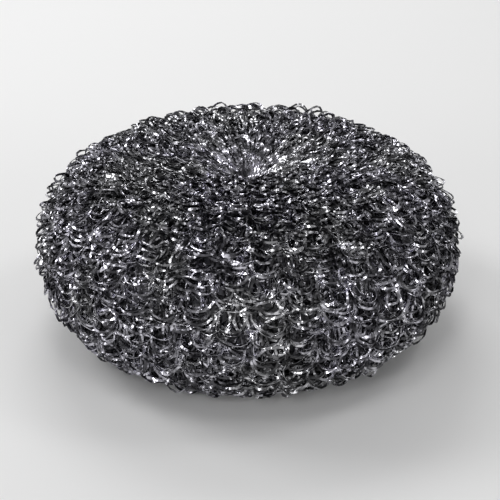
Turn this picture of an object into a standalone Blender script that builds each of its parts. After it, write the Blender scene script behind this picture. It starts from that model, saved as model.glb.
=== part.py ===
"""A round metal scourer, in metres, +Z up, standing on the floor plane.

One knitted sleeve of flat zinc-coated wire is rolled over on itself into a bun, and its ends are
gathered into a dimple in the middle of the top and of the underside. It is one piece: one closed
solid, with the knit of its outer turn in relief and a band of loops that stand clear of it.
"""

import math

import bmesh
import bpy
import numpy as np
from mathutils import Vector

# The bun
PAD_RADIUS = 0.045  # over the knit at the waist
PAD_HEIGHT = 0.039  # from the floor to the crown of the top
CROWN_RADIUS = 0.021  # where the top and the underside swell furthest
SHOULDER_FULLNESS = 0.92  # 1 gives an elliptical side, less gives squarer shoulders
TOP_DIMPLE_DEPTH = 0.0095
UNDERSIDE_DIMPLE_DEPTH = 0.0100
THROAT_RADIUS = 0.0021  # the pinched middle of a dimple
FOOT_PRESS = 0.0015  # how far the loops underneath are pressed flat by the floor

# The knit
WALES = 36  # columns of loops, each running over the rim from dimple to dimple
LOOP_WIRE_LENGTH = 0.0208  # wire in one loop: wide and short at the waist, narrow and long inside
LOOP_SLANT = 0.7  # how far up a loop's legs lean out to its neighbours, in courses
GROOVE_DEPTH = 0.0025  # between neighbouring wales
LOOP_DEPTH = 0.0013  # between the two legs of a loop
STEEPEST_RELIEF = 0.4  # relief is no deeper than this share of the wale's width
CREST_START = 0.28  # where the crest of a leg starts and ends, as shares of its length
CREST_END = 0.72

# The loops that stand clear of the shoulder
STANDING_COURSES = (5, 6, 7)  # counted from the top dimple
STANDING_HEIGHT = 0.0016  # over the knit around them
STANDING_SPAN_SHARE = 0.78  # as a share of the wale's width
STANDING_WIRE_WIDTH = 0.0009
STANDING_WIRE_THICKNESS = 0.0005
STANDING_FOOT_SHARE = 0.4  # of the leg's wall that the wire grows from
STANDING_BENDS = 3

# The mesh
SECTION_SAMPLES = 400
FIRST_INSET = 0.0001  # the points of an inset are drawn to their places after it
SHARP_EDGE = math.radians(48)

WIRE_COLOUR = (0.23, 0.23, 0.245, 1.0)
WIRE_ROUGHNESS = 0.32
WIRE_METALLIC = 1.0


def clear_scene():
    for thing in list(bpy.data.objects):
        bpy.data.objects.remove(thing, do_unlink=True)


def dimple_curve(depth):
    """From the throat up to the crown: a quarter ellipse, as distance out and distance down."""
    turn = np.linspace(math.pi / 2, 0, SECTION_SAMPLES)
    out = CROWN_RADIUS - (CROWN_RADIUS - THROAT_RADIUS) * np.sin(turn)
    down = depth * (1 - np.cos(turn))
    return out, down


def section_curve():
    """Half of the bun's section, from the top dimple over the rim to the underside dimple."""
    half_height = (PAD_HEIGHT + FOOT_PRESS) / 2
    middle = PAD_HEIGHT - half_height
    top_out, top_down = dimple_curve(TOP_DIMPLE_DEPTH)
    low_out, low_down = dimple_curve(UNDERSIDE_DIMPLE_DEPTH)
    turn = np.linspace(math.pi / 2, -math.pi / 2, 2 * SECTION_SAMPLES)[1:-1]
    swell = np.abs(np.cos(turn)) ** SHOULDER_FULLNESS
    side_out = CROWN_RADIUS + (PAD_RADIUS - CROWN_RADIUS) * swell
    side_up = half_height * np.sign(np.sin(turn)) * np.abs(np.sin(turn)) ** SHOULDER_FULLNESS
    out = np.concatenate([top_out, side_out, low_out[::-1]])
    up = np.concatenate([half_height - top_down, side_up, (low_down - half_height)[::-1]])
    return out, up + middle


class Wale:
    """One column of loops along the section, measured in courses from the top dimple.

    Every loop takes the same length of wire, one and a half widths and two heights, so the
    courses lie close at the waist, where the loops are wide, and far apart towards the dimples.
    """

    def __init__(self):
        out, up = section_curve()
        step = np.hypot(np.diff(out), np.diff(up))
        width = math.pi * (out[1:] + out[:-1]) / WALES
        height = (LOOP_WIRE_LENGTH - 1.5 * width) / 2
        passed = np.concatenate([[0], np.cumsum(step / height)])
        self.courses = round(passed[-1])
        self.places = passed * self.courses / passed[-1]
        slope = np.hypot(np.gradient(out), np.gradient(up))
        self.curves = (out, up, -np.gradient(up) / slope, np.gradient(out) / slope)

    def at(self, place):
        """Distance out, height, and the outward normal's two parts."""
        return [float(np.interp(place, self.places, curve)) for curve in self.curves]

    def point(self, place, turn, depth):
        """A point of the knit: courses along, wales round, and depth below the crests."""
        out, up, normal_out, normal_up = self.at(place)
        depth = min(depth, STEEPEST_RELIEF * 2 * math.pi * out / WALES)
        angle = 2 * math.pi * turn / WALES
        radius = out - depth * normal_out
        height = max(up - depth * normal_up, 0.0)
        return Vector((radius * math.cos(angle), radius * math.sin(angle), height))

    def lean(self, row):
        """How far the legs lean at a row, in courses. The gathered ends don't lean."""
        return LOOP_SLANT if 0 < row < self.courses else 0.0


def turn_section(mesh, wale):
    """Spin the section round +Z, with one quad for each leg of a loop.

    Returns the points by their row and half wale. Even half wales are the grooves between
    wales, and odd ones the middles of the loops.
    """
    row_layer = mesh.verts.layers.int.new("row")
    chain = []
    for row in range(wale.courses + 1):
        point = mesh.verts.new(wale.point(row, 0, 0.0))
        point[row_layer] = row
        chain.append(point)
    edges = [mesh.edges.new(pair) for pair in zip(chain[:-1], chain[1:])]
    bmesh.ops.spin(
        mesh,
        geom=chain + edges,
        axis=(0, 0, 1),
        angle=2 * math.pi,
        steps=2 * WALES,
        use_merge=True,
    )
    grid = {}
    for point in mesh.verts:
        half = round(math.atan2(point.co.y, point.co.x) / math.pi * WALES) % (2 * WALES)
        grid[point[row_layer], half] = point
    return grid


def press_valleys(grid, wale):
    """Sink the lines between the legs, and lean the legs out from each loop's middle."""
    for (row, half), point in grid.items():
        if half % 2:
            point.co = wale.point(row, half / 2, LOOP_DEPTH)
        else:
            point.co = wale.point(row - wale.lean(row), half / 2, GROOVE_DEPTH)


def raise_crests(mesh, grid, wale):
    """Inset each leg's quad, and fold the inset together into a crest along the wire.

    Returns the point where each leg's crest ends, by its row, its loop's middle and its groove.
    """
    places = {point: place for place, point in grid.items()}
    legs = list(mesh.faces)
    corners = [[places[point] for point in leg.verts] for leg in legs]
    bmesh.ops.inset_individual(mesh, faces=legs, thickness=FIRST_INSET)
    folded = {}
    crest_ends = {}
    for leg, leg_corners in zip(legs, corners):
        inner = dict(zip(leg_corners, leg.verts))
        row = min(corner[0] for corner in leg_corners)
        middle = next(half for _, half in leg_corners if half % 2)
        groove = next(half for _, half in leg_corners if half % 2 == 0)
        across = -0.5 if (middle - groove) % (2 * WALES) == 1 else 0.5
        neck = inner[row + 1, middle]
        head = inner[row, groove]
        length = row - wale.lean(row) - (row + 1)
        for point, share in ((neck, CREST_START), (head, CREST_END)):
            point.co = wale.point(row + 1 + length * share, middle / 2 + across * share, 0.0)
        folded[inner[row, middle]] = neck
        folded[inner[row + 1, groove]] = head
        crest_ends[row, middle, groove] = head
    bmesh.ops.weld_verts(mesh, targetmap=folded)
    return crest_ends


def draw_foot(mesh, corners):
    """Shrink a triangle of a leg's wall to the foot of a wire. Returns its face and its points."""
    face = next(face for face in corners[0].link_faces if set(face.verts) == set(corners))
    order = [corners.index(point) for point in face.verts]
    centre = sum((corner.co for corner in corners), Vector()) / len(corners)
    bmesh.ops.inset_individual(mesh, faces=[face], thickness=FIRST_INSET)
    ring = [face.verts[order.index(number)] for number in range(len(corners))]
    for point, corner in zip(ring, corners):
        point.co = centre.lerp(corner.co, STANDING_FOOT_SHARE)
    return face, ring


def draw_wire_on(mesh, face, ring, corners):
    """Extrude the end of a wire to its next bend."""
    order = [ring.index(point) for point in face.verts]
    face = bmesh.ops.extrude_discrete_faces(mesh, faces=[face])["faces"][0]
    ring = [face.verts[order.index(number)] for number in range(len(corners))]
    for point, corner in zip(ring, corners):
        point.co = corner
    return face, ring


def join_wire(mesh, face, ring, last_face, last_ring):
    """Run the end of a wire into its other foot."""
    bmesh.ops.delete(mesh, geom=[face, last_face], context="FACES_ONLY")
    for number in range(len(ring)):
        following = (number + 1) % len(ring)
        mesh.faces.new((ring[number], ring[following], last_ring[following], last_ring[number]))


def raise_loop(mesh, grid, crest_ends, wale, row, middle):
    """Draw one loop's head clear of the knit: a wire from its left leg over to its right leg."""
    feet = []
    for groove in ((middle - 1) % (2 * WALES), (middle + 1) % (2 * WALES)):
        corners = (grid[row, groove], grid[row + 1, groove], crest_ends[row, middle, groove])
        feet.append(draw_foot(mesh, corners))

    out, up, normal_out, normal_up = wale.at(row + 1 - (1 + wale.lean(row)) * CREST_END)
    angle = math.pi * middle / WALES
    away = Vector((math.cos(angle), math.sin(angle), 0))
    side = Vector((-math.sin(angle), math.cos(angle), 0))
    normal = away * normal_out + Vector((0, 0, normal_up))
    base = away * out + Vector((0, 0, up))
    reach = side * STANDING_SPAN_SHARE * math.pi * out / WALES
    half_width = side.cross(normal) * STANDING_WIRE_WIDTH / 2

    face, ring = feet[0]
    for bend in range(1, STANDING_BENDS + 1):
        turn = math.pi * bend / (STANDING_BENDS + 1)
        centre = base + normal * STANDING_HEIGHT * math.sin(turn) - reach * math.cos(turn)
        half_thickness = normal * math.sin(turn) - side * math.cos(turn)
        half_thickness *= STANDING_WIRE_THICKNESS / 2
        corners = (
            centre + half_thickness - half_width,
            centre + half_thickness + half_width,
            centre - half_thickness,
        )
        face, ring = draw_wire_on(mesh, face, ring, corners)
    join_wire(mesh, face, ring, *feet[1])


def close_throats(mesh):
    rims = [edge for edge in mesh.edges if edge.is_boundary]
    throats = bmesh.ops.edgeloop_fill(mesh, edges=rims)["faces"]
    bmesh.ops.poke(mesh, faces=throats)


def face_outwards(mesh):
    bmesh.ops.recalc_face_normals(mesh, faces=mesh.faces)
    if mesh.calc_volume(signed=True) < 0:
        bmesh.ops.reverse_faces(mesh, faces=mesh.faces)


def zinc_wire():
    material = bpy.data.materials.new("zinc_wire")
    material.use_nodes = True
    shader = material.node_tree.nodes["Principled BSDF"]
    shader.inputs["Base Color"].default_value = WIRE_COLOUR
    shader.inputs["Roughness"].default_value = WIRE_ROUGHNESS
    shader.inputs["Metallic"].default_value = WIRE_METALLIC
    return material


def knitted_pad():
    wale = Wale()
    mesh = bmesh.new()
    grid = turn_section(mesh, wale)
    press_valleys(grid, wale)
    crest_ends = raise_crests(mesh, grid, wale)
    for row in STANDING_COURSES:
        for middle in range(1, 2 * WALES, 2):
            raise_loop(mesh, grid, crest_ends, wale, row, middle)
    close_throats(mesh)
    face_outwards(mesh)
    bmesh.ops.triangulate(mesh, faces=mesh.faces)

    data = bpy.data.meshes.new("knitted_pad")
    mesh.to_mesh(data)
    mesh.free()
    data.shade_smooth()
    data.set_sharp_from_angle(angle=SHARP_EDGE)
    data.materials.append(zinc_wire())
    pad = bpy.data.objects.new("knitted_pad", data)
    bpy.context.scene.collection.objects.link(pad)


clear_scene()
knitted_pad()
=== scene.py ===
import math

import bmesh
import bpy
import numpy as np
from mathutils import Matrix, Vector


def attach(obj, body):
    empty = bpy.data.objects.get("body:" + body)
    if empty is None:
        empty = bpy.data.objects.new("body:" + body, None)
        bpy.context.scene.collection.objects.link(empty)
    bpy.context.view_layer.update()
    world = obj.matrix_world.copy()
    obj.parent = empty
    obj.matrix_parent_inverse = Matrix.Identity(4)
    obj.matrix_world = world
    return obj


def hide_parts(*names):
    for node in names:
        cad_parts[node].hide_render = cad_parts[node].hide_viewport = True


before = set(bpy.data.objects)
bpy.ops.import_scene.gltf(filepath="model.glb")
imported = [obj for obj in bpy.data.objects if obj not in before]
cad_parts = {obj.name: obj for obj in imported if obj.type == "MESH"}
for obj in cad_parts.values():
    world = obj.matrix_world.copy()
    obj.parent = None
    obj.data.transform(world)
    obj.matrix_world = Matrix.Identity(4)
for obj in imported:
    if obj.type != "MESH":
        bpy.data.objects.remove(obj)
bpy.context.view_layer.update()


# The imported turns. One long sleeve, knitted from flat zinc-coated steel wire, is rolled over on
# itself like a sock, and its two ends are gathered into the dimples. Deep inside, the turns lie
# so close that they read as one dark lumpy body, with a small pit where each end is drawn in.
PAD_RADIUS = 0.045
PAD_HEIGHT = 0.039
CROWN_RADIUS = 0.021  # of the ring where the top is highest
SHOULDER_FULLNESS = 0.92  # under 1 is fuller than an ellipse
TOP_DIMPLE_DEPTH = 0.0095
UNDERSIDE_DIMPLE_DEPTH = 0.0100
THROAT_RADIUS = 0.0008
THROAT_DEPTH = 0.005  # of the pit under a throat
FOOT_PRESS = 0.0015  # how far the floor flattens the underside
GATHERED_SHARE = 0.45  # of a turn's depth that is left where the ends are gathered
SECTION_SAMPLES = 400
WALES = 36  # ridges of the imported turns, as on the solid that they replace
PACKED_DEPTH = 0.0040
PACKED_POINTS = 120  # along the section
PACKED_RELIEF = 0.0007  # half the depth between the lumps
PACKED_RISE = 1500  # radians of the lumps' pattern for each metre up
PACKED_FADE = 0.02  # inside this radius the lumps fade towards the throat
PACKED_CLEARANCE = 0.001  # over the floor


def dimple_curve(depth):
    """From the throat up to the crown: a quarter ellipse, as distance out and distance down."""
    turn = np.linspace(math.pi / 2, 0, SECTION_SAMPLES)
    out = CROWN_RADIUS - (CROWN_RADIUS - THROAT_RADIUS) * np.sin(turn)
    return out, depth * (1 - np.cos(turn))


def section_curve(depth):
    """Distance out, height, and the outward normal's two parts, for a turn at some depth."""
    half_height = (PAD_HEIGHT + FOOT_PRESS) / 2
    top_out, top_down = dimple_curve(TOP_DIMPLE_DEPTH)
    low_out, low_down = dimple_curve(UNDERSIDE_DIMPLE_DEPTH)
    turn = np.linspace(math.pi / 2, -math.pi / 2, 2 * SECTION_SAMPLES)[1:-1]
    swell = np.abs(np.cos(turn)) ** SHOULDER_FULLNESS
    side_out = CROWN_RADIUS + (PAD_RADIUS - CROWN_RADIUS) * swell
    side_up = half_height * np.sign(np.sin(turn)) * np.abs(np.sin(turn)) ** SHOULDER_FULLNESS
    out = np.concatenate([top_out, side_out, low_out[::-1]])
    up = np.concatenate([half_height - top_down, side_up, (low_down - half_height)[::-1]])
    up = up + PAD_HEIGHT - half_height
    slope = np.hypot(np.gradient(out), np.gradient(up))
    normal_out, normal_up = -np.gradient(up) / slope, np.gradient(out) / slope
    sunk = depth * np.clip(out / CROWN_RADIUS, GATHERED_SHARE, 1.0)
    return out - sunk * normal_out, up - sunk * normal_up, normal_out, normal_up


# The zinc's bloom: crystals of two tones, clouds of tarnish over them, and fine kinks.
CLEAN_TINT = (0.99, 0.975, 1.085, 1.0)
TARNISHED_TINT = (0.99, 0.99, 1.03, 1.0)
KINK_DEPTH = 0.0002
bloom = bpy.data.node_groups.new("zinc_bloom", "ShaderNodeTree")
for name, kind in (
    ("Dark", "NodeSocketColor"),
    ("Bright", "NodeSocketColor"),
    ("Dull", "NodeSocketFloat"),
    ("Glossy", "NodeSocketFloat"),
):
    bloom.interface.new_socket(name, in_out="INPUT", socket_type=kind)
for name, kind in (
    ("Color", "NodeSocketColor"),
    ("Roughness", "NodeSocketFloat"),
    ("Kinks", "NodeSocketFloat"),
):
    bloom.interface.new_socket(name, in_out="OUTPUT", socket_type=kind)
given = bloom.nodes.new("NodeGroupInput")
result = bloom.nodes.new("NodeGroupOutput")
place = bloom.nodes.new("ShaderNodeTexCoord")
noises = {}
for name, scale, detail in (
    ("crystals", 420.0, 3.0),
    ("tarnish", 75.0, 2.0),
    ("kinks", 700.0, 2.0),
):
    noise = bloom.nodes.new("ShaderNodeTexNoise")
    noise.inputs["Scale"].default_value = scale
    noise.inputs["Detail"].default_value = detail
    bloom.links.new(place.outputs["Object"], noise.inputs["Vector"])
    noises[name] = noise.outputs["Fac"]
shares = {}
for name, low, high in (("crystals", 0.46, 0.62), ("tarnish", 0.42, 0.58)):
    share = bloom.nodes.new("ShaderNodeMapRange")
    share.inputs["From Min"].default_value = low
    share.inputs["From Max"].default_value = high
    bloom.links.new(noises[name], share.inputs["Value"])
    shares[name] = share.outputs["Result"]
tone = bloom.nodes.new("ShaderNodeMix")
tone.data_type = "RGBA"
bloom.links.new(shares["crystals"], tone.inputs["Factor"])
bloom.links.new(given.outputs["Dark"], tone.inputs["A"])
bloom.links.new(given.outputs["Bright"], tone.inputs["B"])
tint = bloom.nodes.new("ShaderNodeMix")
tint.data_type = "RGBA"
tint.inputs["A"].default_value = CLEAN_TINT
tint.inputs["B"].default_value = TARNISHED_TINT
bloom.links.new(shares["tarnish"], tint.inputs["Factor"])
tinted = bloom.nodes.new("ShaderNodeMix")
tinted.data_type = "RGBA"
tinted.blend_type = "MULTIPLY"
tinted.inputs["Factor"].default_value = 1.0
bloom.links.new(tone.outputs["Result"], tinted.inputs["A"])
bloom.links.new(tint.outputs["Result"], tinted.inputs["B"])
bloom.links.new(tinted.outputs["Result"], result.inputs["Color"])
gloss = bloom.nodes.new("ShaderNodeMix")
bloom.links.new(shares["crystals"], gloss.inputs["Factor"])
bloom.links.new(given.outputs["Dull"], gloss.inputs["A"])
bloom.links.new(given.outputs["Glossy"], gloss.inputs["B"])
bloom.links.new(gloss.outputs["Result"], result.inputs["Roughness"])
bloom.links.new(noises["kinks"], result.inputs["Kinks"])


def wire_steel(name, dark, bright, dull, glossy, edge):
    """Zinc-coated steel: dull dark crystals among glossy bright ones, and small kinks."""
    steel = bpy.data.materials.new(name)
    steel.use_nodes = True
    nodes, links = steel.node_tree.nodes, steel.node_tree.links
    shader = nodes["Principled BSDF"]
    shader.inputs["Metallic"].default_value = 1.0
    shader.inputs["Specular Tint"].default_value = (edge, edge, edge, 1.0)
    coat = nodes.new("ShaderNodeGroup")
    coat.node_tree = bloom
    coat.inputs["Dark"].default_value = (dark, dark, dark, 1.0)
    coat.inputs["Bright"].default_value = (bright, bright, bright, 1.0)
    coat.inputs["Dull"].default_value = dull
    coat.inputs["Glossy"].default_value = glossy
    links.new(coat.outputs["Color"], shader.inputs["Base Color"])
    links.new(coat.outputs["Roughness"], shader.inputs["Roughness"])
    bump = nodes.new("ShaderNodeBump")
    bump.inputs["Distance"].default_value = KINK_DEPTH
    links.new(coat.outputs["Kinks"], bump.inputs["Height"])
    links.new(bump.outputs["Normal"], shader.inputs["Normal"])
    return steel


# The packed body's steel is the same wire, painted lighter and duller than the open wire's. This
# is painted fill light, so the deep holes between the open loops show dark grey instead of black.
buried_wire_painted_light = wire_steel("buried_wire_painted_light", dark=0.36, bright=0.54, dull=0.55, glossy=0.45, edge=1.0)
out, up = section_curve(PACKED_DEPTH)[:2]
mesh = bmesh.new()
picked = np.linspace(0, len(out) - 1, PACKED_POINTS).astype(int)
chain = [mesh.verts.new((0.0, 0.0, up[0] - THROAT_DEPTH))]
for number in picked:
    chain.append(mesh.verts.new((out[number], 0.0, max(up[number], PACKED_CLEARANCE))))
chain.append(mesh.verts.new((0.0, 0.0, up[-1] + THROAT_DEPTH)))
edges = [mesh.edges.new(pair) for pair in zip(chain[:-1], chain[1:])]
bmesh.ops.spin(
    mesh,
    geom=chain + edges,
    axis=(0, 0, 1),
    angle=2 * math.pi,
    steps=4 * WALES,
    use_merge=True,
)
bmesh.ops.remove_doubles(mesh, verts=mesh.verts[:], dist=0.00001)
bmesh.ops.recalc_face_normals(mesh, faces=mesh.faces[:])
mesh.normal_update()
for point in mesh.verts:
    angle = math.atan2(point.co.y, point.co.x)
    ridge = math.cos(WALES * angle)
    row = math.cos(PACKED_RISE * point.co.z + WALES / 2 * angle)
    fade = min(math.hypot(point.co.x, point.co.y) / PACKED_FADE, 1.0)
    point.co -= point.normal * PACKED_RELIEF * fade * (1 - (ridge + row) / 2)
for face in mesh.faces:
    face.smooth = True
packed_mesh = bpy.data.meshes.new("packed_turns")
mesh.to_mesh(packed_mesh)
mesh.free()
packed_mesh.materials.append(buried_wire_painted_light)
packed_turns = bpy.data.objects.new("packed_turns", packed_mesh)
bpy.context.scene.collection.objects.link(packed_turns)
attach(packed_turns, "root")
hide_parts("knitted_pad")


# The open turns over them, of the same zinc-coated steel. Two flat wires are knitted together,
# side by side, so every loop is double. A loop has a narrow head, where the needle held it, and
# a wide arc between the needles. Each loop hangs in its neighbours, which is all that holds it.
WIRE_WIDTH = 0.00048
WIRE_THICKNESS = 0.00012
SHARP_EDGE = math.radians(55)
KNIT_WALES = 42  # loops in one round
LOOP_WIRE_LENGTH = 0.0163
LOOP_SPAN_SHARE = 1.5  # of a wale's width that the wire takes crosswise in one loop
TALLEST_COURSE = 0.0035
SHORTEST_COURSE = 0.0028
open_wire = wire_steel("open_wire", dark=0.105, bright=0.74, dull=0.28, glossy=0.16, edge=0.32)


def courses_passed(out, up):
    """How many courses lie between the top throat and each point of a turn's section.

    Every loop takes the same length of wire, so a course is short where the bun is wide.
    """
    step = np.hypot(np.diff(out), np.diff(up))
    width = math.pi * (out[1:] + out[:-1]) / KNIT_WALES
    height = (LOOP_WIRE_LENGTH - LOOP_SPAN_SHARE * width) / 2
    height = np.clip(height, SHORTEST_COURSE, TALLEST_COURSE)
    return np.concatenate([[0], np.cumsum(step / height)])


def straight_wire(name, segments):
    """A box cut into segments along x, with each cut's place there and its corners' order."""
    mesh = bmesh.new()
    bmesh.ops.create_grid(mesh, x_segments=segments, y_segments=1, size=1.0)
    raised = bmesh.ops.extrude_face_region(mesh, geom=mesh.faces[:], use_keep_orig=True)
    raised = [item for item in raised["geom"] if isinstance(item, bmesh.types.BMVert)]
    bmesh.ops.translate(mesh, verts=raised, vec=(0, 0, 2))
    bmesh.ops.recalc_face_normals(mesh, faces=mesh.faces[:])
    for face in mesh.faces:
        face.smooth = True
    strip = bpy.data.meshes.new(name)
    mesh.to_mesh(strip)
    mesh.free()
    points = np.empty(3 * len(strip.vertices))
    strip.vertices.foreach_get("co", points)
    points = points.reshape(-1, 3)
    order = np.lexsort((points[:, 2], points[:, 1], points[:, 0]))
    return strip, points[order[::4], 0], order


# Each wire wanders at random. A walk has a strength, and the length of one step, where a loop is
# 2 * pi long. The two wires of a turn share some walks, and each has others of its own.
WALK_LIMIT = 1.8  # no step ends further from the middle than this
SHARED_SIDE_WALK = (0.4, 1.4)
SHARED_REACH_WALK = (0.12, math.pi)
SHARED_CURL_WALK = (0.3, math.pi)
OWN_LEAN_WALK = (0.12, math.pi)
OWN_SIDE_WALK = (0.2, 1.1)
OWN_REACH_WALK = (0.05, math.pi)
OWN_COURSE_WALK = (0.08, 0.9)
OWN_LIFT_WALK = (0.00012, 0.8)
LONG_TWIST_WALK = (1.1, 0.8)
SHORT_TWIST_WALK = (0.4, 0.45)


def wander(rng, along, strength, reach):
    """A smooth random walk along the wire."""
    knots = np.clip(rng.normal(size=int(along[-1] / reach) + 3), -WALK_LIMIT, WALK_LIMIT)
    whole = np.floor(along / reach).astype(int)
    share = along / reach - whole
    share = share * share * (3 - 2 * share)
    return strength * (knots[whole] * (1 - share) + knots[whole + 1] * share)


# The whole knit is uneven too, alike for both wires of a turn: the strength of long waves and of
# short ones, then how many long ones at most go round the bun, and how many radians of one at
# most lie in a course. The short ones are down to the size of a loop.
SIDE_WAVES = (0.0005, 0.0006, 9, 1.2)
COURSE_WAVES = (0.12, 0.26, 7, 1.2)
LIFT_WAVES = (0.00015, 0.0003, 12, 1.6)
LONG_COUNT = 24
SHORT_COUNT = 40
SHORT_AROUND = 34
SHORT_ALONG = 3.6


def waves(rng, angle, course, count, around, along):
    """Smooth random waves over the bun, about 1 high, that close up all the way round."""
    total = np.zeros_like(angle)
    for _ in range(count):
        total += np.cos(
            rng.integers(-around, around + 1) * angle
            + rng.uniform(-along, along) * course
            + rng.uniform(0, 2 * math.pi)
        )
    return total * math.sqrt(2 / count)


def uneven(rng, angle, course, long, short, around, along):
    """Long waves and short ones together."""
    total = long * waves(rng, angle, course, LONG_COUNT, around, along)
    return total + short * waves(rng, angle, course, SHORT_COUNT, SHORT_AROUND, SHORT_ALONG)


LOOP_REACH = 0.889  # from a loop's middle to its head, and to its arc, in courses
LEG_LEAN = 0.9  # how far the legs lean out to the next wales
ARC_SPREAD = 0.9  # how much wider the arc is than the head
BEND_SPREAD = 0.3  # moves the bends towards the arc, so that they lie evenly along the wire
END_MARGIN = 0.02  # between a wire and the ends of the sleeve, in courses
ARC_CURL = 0.45  # share of the curl by which arc and head both stand proud of the legs
ARC_OVER_HEAD = 0.5  # and by which the arc does and the head doesn't
GROOVE_DEPTH = 0.0003  # half the depth of the grooves, which run where the solid's do
LEAST_SWAY_RADIUS = 0.004  # wales sway to the side as if no nearer to the middle than this
GATHER_RADIUS = 0.024  # inside this the loops lie down towards the throat
LEAST_PROUD = 0.15  # share of their height that is left there
CENTRE_CLEARANCE = 0.0002  # of a wire's middle over the floor


def loop_path(section, passed, along, curl, phase, lag, unrest, shared, rng):
    """Where the wire's middle runs, which way the knit faces there, and how far out it is."""
    out = section[0]
    row = along / (2 * math.pi * KNIT_WALES)
    angle = (along + phase) / KNIT_WALES
    side = uneven(shared, angle, row, *SIDE_WAVES)
    shift = uneven(shared, angle, row, *COURSE_WAVES)
    lift = uneven(shared, angle, row, *LIFT_WAVES)
    angle = angle + (
        LEG_LEAN * np.sin(2 * along) * (1 + wander(rng, along, *OWN_LEAN_WALK))
        + ARC_SPREAD * np.sin(along)
        + unrest * wander(shared, along, *SHARED_SIDE_WALK)
        + unrest**2 * wander(rng, along, *OWN_SIDE_WALK)
    ) / KNIT_WALES
    middle_out = np.interp(LOOP_REACH + row, passed, out)
    angle = angle + unrest * side / np.maximum(middle_out, LEAST_SWAY_RADIUS)
    reach = LOOP_REACH * (1 + unrest * wander(shared, along, *SHARED_REACH_WALK))
    reach = reach * (1 + unrest * wander(rng, along, *OWN_REACH_WALK))
    course = LOOP_REACH + row + lag + reach * np.cos(along)
    course = course + unrest * shift + unrest**2 * wander(rng, along, *OWN_COURSE_WALK)
    course = np.clip(course, END_MARGIN, passed[-1] - END_MARGIN)
    out, up, normal_out, normal_up = [np.interp(course, passed, curve) for curve in section]
    proud = curl * (ARC_CURL * np.cos(2 * along) + ARC_OVER_HEAD * np.cos(along))
    proud = proud * (1 + unrest * wander(shared, along, *SHARED_CURL_WALK))
    proud = proud + unrest * lift + unrest**2 * wander(rng, along, *OWN_LIFT_WALK)
    proud = proud + GROOVE_DEPTH * (np.cos(WALES * angle) - 1)
    proud = proud * np.clip(out / GATHER_RADIUS, LEAST_PROUD, 1.0)
    radius = out + proud * normal_out
    height = np.maximum(up + proud * normal_up, CENTRE_CLEARANCE)
    centre = np.stack([radius * np.cos(angle), radius * np.sin(angle), height], 1)
    normal = np.stack([normal_out * np.cos(angle), normal_out * np.sin(angle), normal_up], 1)
    return centre, normal, out


WAIST_TWIST = 0.45  # half the twist at heads and arcs, where the knit stands upright
CROWN_TWIST = 0.65  # less by this where it faces up, and more where it faces down
CALM_RADIUS = 0.018  # inside this the wire twists less
LEAST_TWIST = 0.55  # share of its random twist that is left there


def twisted_flat(rng, along, centre, normal, out):
    """The ways across the wire's flat and out of it, which turn over along its length."""
    ahead = np.gradient(centre, axis=0)
    ahead /= np.linalg.norm(ahead, axis=1)[:, None]
    across = np.cross(normal, ahead)
    across /= np.linalg.norm(across, axis=1)[:, None]
    lifted = np.cross(ahead, across)
    twist = wander(rng, along, *LONG_TWIST_WALK) + wander(rng, along, *SHORT_TWIST_WALK)
    twist = twist * np.clip(out / CALM_RADIUS, LEAST_TWIST, 1.0)
    twist = twist - (WAIST_TWIST - CROWN_TWIST * normal[:, 2]) * (1 + np.cos(2 * along))
    across = np.cos(twist)[:, None] * across + np.sin(twist)[:, None] * lifted
    return across, np.cross(ahead, across)


EDGE_CLEARANCE = 0.00005  # of a wire's edges over the floor


def knit_wire(name, depth, curl, phase, lag, bends, turn_seed, seed, unrest):
    """One flat wire, knitted round and round from the top dimple to the underside's.

    It lies depth under the bun's surface, and its arcs curl out of that. Phase sets it off round
    the bun, in radians of a loop, and lag along the sleeve, in courses. Bends is the number of
    straight lengths in a loop, and unrest is how uneven the loops are.
    """
    section = section_curve(depth)
    passed = courses_passed(*section[:2])
    stitches = (passed[-1] - 2 * LOOP_REACH) * KNIT_WALES
    strip, place, order = straight_wire(name, int(stitches * bends))
    along = (place + 1) / 2 * stitches * 2 * math.pi
    along = along - BEND_SPREAD * np.sin(along)
    shared = np.random.default_rng(turn_seed)
    rng = np.random.default_rng(seed)
    centre, normal, out = loop_path(section, passed, along, curl, phase, lag, unrest, shared, rng)
    across, lifted = twisted_flat(rng, along, centre, normal, out)
    points = np.empty((len(order), 3))
    corners = ((-1, -1), (-1, 1), (1, -1), (1, 1))
    for number, (to_side, to_top) in enumerate(corners):
        offset = across * WIRE_WIDTH * to_side + lifted * WIRE_THICKNESS * to_top
        points[order[number::4]] = centre + offset / 2
    points[:, 2] = np.maximum(points[:, 2], EDGE_CLEARANCE)
    strip.vertices.foreach_set("co", points.ravel())
    strip.update()
    strip.set_sharp_from_angle(angle=SHARP_EDGE)
    strip.materials.append(open_wire)
    turn = bpy.data.objects.new(name, strip)
    bpy.context.scene.collection.objects.link(turn)
    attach(turn, "root")
    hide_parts("knitted_pad")


for name, depth, curl, phase, lag, bends, turn_seed, seed, unrest in (
    ("outer_turn_wire_1", 0.0006, 0.0013, 0.0, 0.0, 16, 1, 11, 0.7),
    ("outer_turn_wire_2", 0.0009, 0.0012, 0.3, 0.11, 16, 1, 12, 0.7),
    ("second_turn_wire_1", 0.0013, 0.0009, 3.0, 0.0, 12, 2, 13, 1.1),
    ("second_turn_wire_2", 0.0016, 0.0008, 2.6, 0.12, 12, 2, 14, 1.1),
    ("third_turn_wire_1", 0.0019, 0.0008, -1.5, 0.0, 10, 3, 15, 1.3),
    ("third_turn_wire_2", 0.0022, 0.0008, -1.2, 0.14, 10, 3, 16, 1.3),
    ("fourth_turn_wire_1", 0.0025, 0.0008, 1.7, 0.0, 7, 4, 17, 1.3),
    ("fourth_turn_wire_2", 0.0028, 0.0008, 1.4, 0.16, 7, 4, 18, 1.3),
):
    knit_wire(name, depth, curl, phase, lag, bends, turn_seed, seed, unrest)


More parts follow.
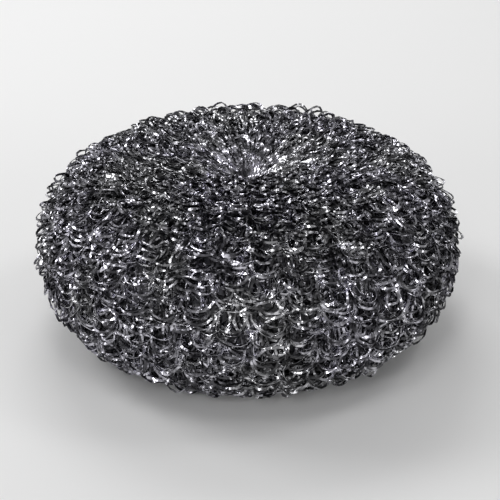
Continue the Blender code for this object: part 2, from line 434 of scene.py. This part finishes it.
# The floor that the pad stands on: a plain matt sheet of pale card, wide enough that the camera
# doesn't see its edges. It takes the pad's shadow, and the wires reflect it.
FLOOR_REACH = 2.0  # from the pad to each edge
floor_colour = (0.84, 0.84, 0.84, 1.0)
floor_paint = bpy.data.materials.new("pale_floor")
floor_paint.use_nodes = True
floor_paint.node_tree.nodes["Principled BSDF"].inputs["Base Color"].default_value = floor_colour
floor_paint.node_tree.nodes["Principled BSDF"].inputs["Roughness"].default_value = 0.8
mesh = bmesh.new()
bmesh.ops.create_grid(mesh, x_segments=1, y_segments=1, size=FLOOR_REACH)
floor_mesh = bpy.data.meshes.new("floor")
mesh.to_mesh(floor_mesh)
mesh.free()
floor_mesh.materials.append(floor_paint)
floor = bpy.data.objects.new("floor", floor_mesh)
bpy.context.scene.collection.objects.link(floor)


# The light: a dim even room and eight soft boxes aimed at the pad, as on a product table. Two
# hang above it, the key is at the left, small ones fill in from the front and the right, a long
# strip stands behind, and the low strips at both sides put the glints on the rims.
world = bpy.data.worlds.new("studio")
world.use_nodes = True
world.node_tree.nodes["Background"].inputs["Color"].default_value = (1.0, 1.0, 1.0, 1.0)
world.node_tree.nodes["Background"].inputs["Strength"].default_value = 0.25
bpy.context.scene.world = world
PAD_MIDDLE = 0.02  # over the floor
for name, spot, width, height, power in (
    ("top_box", (-0.08, 0.40, 0.52), 0.30, 0.20, 0.90),
    ("crown_box", (-0.04, -0.17, 0.62), 0.17, 0.17, 0.34),
    ("key_box", (-0.42, 0.16, 0.38), 0.21, 0.21, 0.90),
    ("back_strip", (0.05, 0.66, 0.24), 0.80, 0.12, 1.1),
    ("front_box", (-0.14, -0.44, 0.42), 0.11, 0.11, 0.26),
    ("left_strip", (-0.42, -0.36, 0.20), 0.40, 0.09, 0.65),
    ("right_strip", (0.44, -0.34, 0.20), 0.40, 0.09, 0.65),
    ("right_box", (0.30, 0.05, 0.45), 0.12, 0.12, 0.26),
):
    lamp = bpy.data.lights.new(name, "AREA")
    lamp.shape = "RECTANGLE"
    lamp.size = width
    lamp.size_y = height
    lamp.energy = power
    box = bpy.data.objects.new(name, lamp)
    box.location = spot
    towards_pad = Vector((0, 0, PAD_MIDDLE)) - Vector(spot)
    box.rotation_euler = towards_pad.to_track_quat("-Z", "Y").to_euler()
    bpy.context.scene.collection.objects.link(box)


# The camera, in front of the pad and above it. Its long lens and its angle come from the
# photograph's outline and from where the dimple shows.
CAMERA_RANGE = 0.26
CAMERA_RISE = math.radians(26.5)
SENSOR_WIDTH = 36.0
FOCAL_SHARE = 2.4  # of the sensor's width
camera_data = bpy.data.cameras.new("camera")
camera_data.sensor_width = SENSOR_WIDTH
camera_data.lens = FOCAL_SHARE * SENSOR_WIDTH
camera_data.clip_start = 0.01
camera = bpy.data.objects.new("camera", camera_data)
camera.location = (
    0,
    -CAMERA_RANGE * math.cos(CAMERA_RISE),
    PAD_HEIGHT / 2 + CAMERA_RANGE * math.sin(CAMERA_RISE),
)
aim = Vector((0.0003, 0.0, 0.0159))
camera.rotation_euler = (aim - camera.location).to_track_quat("-Z", "Y").to_euler()
bpy.context.scene.collection.objects.link(camera)
bpy.context.scene.camera = camera
bpy.context.scene.view_settings.view_transform = "Standard"
